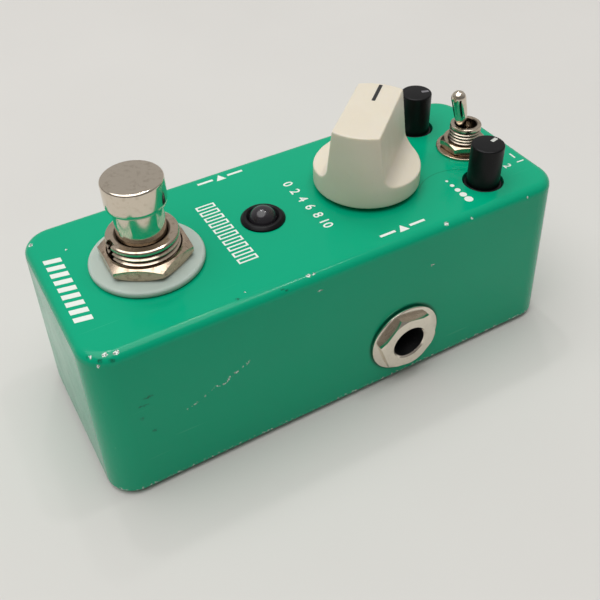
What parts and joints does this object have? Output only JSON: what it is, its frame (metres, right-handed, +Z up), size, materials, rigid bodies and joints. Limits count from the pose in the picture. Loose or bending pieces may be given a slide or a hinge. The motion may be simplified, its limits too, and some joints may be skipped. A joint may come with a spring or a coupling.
{
  "type": "guitar effects pedal",
  "caption": "Compact guitar effects pedal: green die-cast box with a footswitch, status lamp, ivory bar knob, slim black knobs, a bat toggle, side jacks and a DC inlet.",
  "frame": {"origin": "on the floor, under the middle of the box, at the underside of the rubber pad", "axes": "+Z up through the top panel; +Y along the box towards the toggle and the DC inlet; -Y towards the footswitch; +X towards the input jack side"},
  "size_m": [0.042, 0.0936, 0.0492],
  "materials": {
    "enamel": "glossy green sprayed enamel on die-cast aluminium",
    "plate_metal": "painted sheet, same green as the box",
    "pad_rubber": "matt black foam rubber",
    "screw_steel": "zinc-plated steel",
    "nickel": "bright nickel plating with fine wear",
    "soft_washer": "milky translucent nylon",
    "switch_steel": "bright stamped steel",
    "switch_blue": "moulded blue plastic",
    "spring_steel": "drawn spring wire",
    "tinned": "tinned copper",
    "board": "solder-masked glass laminate",
    "ribbon": "grey ribbon insulation",
    "black_plastic": "moulded black plastic, satin",
    "lamp_lens": "smoked epoxy dome, unlit",
    "ivory": "moulded ivory plastic, slightly translucent",
    "pointer_black": "black paint in a groove",
    "pointer_white": "white paint in a groove",
    "pot_steel": "plated steel cover",
    "shaft_alloy": "turned shaft",
    "toggle_red": "moulded red plastic",
    "chip_black": "moulded epoxy",
    "can_sleeve": "shrunk dark sleeve",
    "film_red": "dipped red epoxy"
  },
  "bodies": {
    "housing": {"shell": "enamel", "base_plate": "plate_metal", "base_pad": "pad_rubber", "base_screws": "screw_steel", "footswitch_bushing": "nickel", "footswitch_washer": "soft_washer", "footswitch_nut": "nickel", "footswitch_lock_washer": "nickel", "footswitch_lower_nut": "nickel", "footswitch_frame": "switch_steel", "footswitch_body": "switch_blue", "footswitch_spring": "spring_steel", "footswitch_lugs": "tinned", "switch_board": "board", "ribbon_cable": "ribbon", "lamp_bezel": "black_plastic", "lamp_ring": "black_plastic", "lamp": "lamp_lens", "lamp_leads": "tinned", "drive_pot": "pot_steel", "drive_bushing": "nickel", "drive_washer": "nickel", "drive_nut": "nickel", "tone_pot": "pot_steel", "volume_pot": "pot_steel", "pot_pins": "tinned", "toggle_bushing": "nickel", "toggle_washer": "nickel", "toggle_inner_washer": "nickel", "toggle_nut": "nickel", "toggle_body": "toggle_red", "toggle_pins": "tinned", "input_ferrule": "nickel", "input_jack": "black_plastic", "input_contacts": "spring_steel", "output_ferrule": "nickel", "output_jack": "black_plastic", "output_contacts": "spring_steel", "dc_inlet": "black_plastic", "dc_pin": "tinned", "main_board": "board", "op_amps": "chip_black", "electrolytic_capacitors": "can_sleeve", "film_capacitors": "film_red", "resistors": "chip_black"},
    "footswitch": {"footswitch_plunger": "nickel"},
    "drive": {"drive_knob": "ivory", "drive_pointer": "pointer_black", "drive_shaft": "shaft_alloy"},
    "tone": {"tone_knob": "black_plastic", "tone_pointer": "pointer_white", "tone_shaft": "shaft_alloy"},
    "volume": {"volume_knob": "black_plastic", "volume_pointer": "pointer_white", "volume_shaft": "shaft_alloy"},
    "toggle": {"toggle_lever": "nickel"}
  },
  "joints": [
    {"name": "footswitch_press", "type": "slide", "parent": "housing", "child": "footswitch", "axis": [0, 0, -1], "range_m": [0, 0.003], "stiffness_N_per_m": 600, "springref_m": -0.004, "deforming": ["footswitch_spring"]},
    {"name": "drive_turn", "type": "hinge", "parent": "housing", "child": "drive", "pos_m": [0, 0.01465, 0.04], "axis": [0, 0, 1], "range_deg": [-192.5, 107.5]},
    {"name": "tone_turn", "type": "hinge", "parent": "housing", "child": "tone", "pos_m": [0.01091, 0.0331, 0.036], "axis": [0, 0, 1], "range_deg": [-155, 125]},
    {"name": "volume_turn", "type": "hinge", "parent": "housing", "child": "volume", "pos_m": [-0.01091, 0.0331, 0.036], "axis": [0, 0, 1], "range_deg": [-120, 160]},
    {"name": "toggle_flip", "type": "hinge", "parent": "housing", "child": "toggle", "pos_m": [0, 0.037, 0.0341], "axis": [-1, 0, 0], "range_deg": [0, 28.6]}
  ]
}
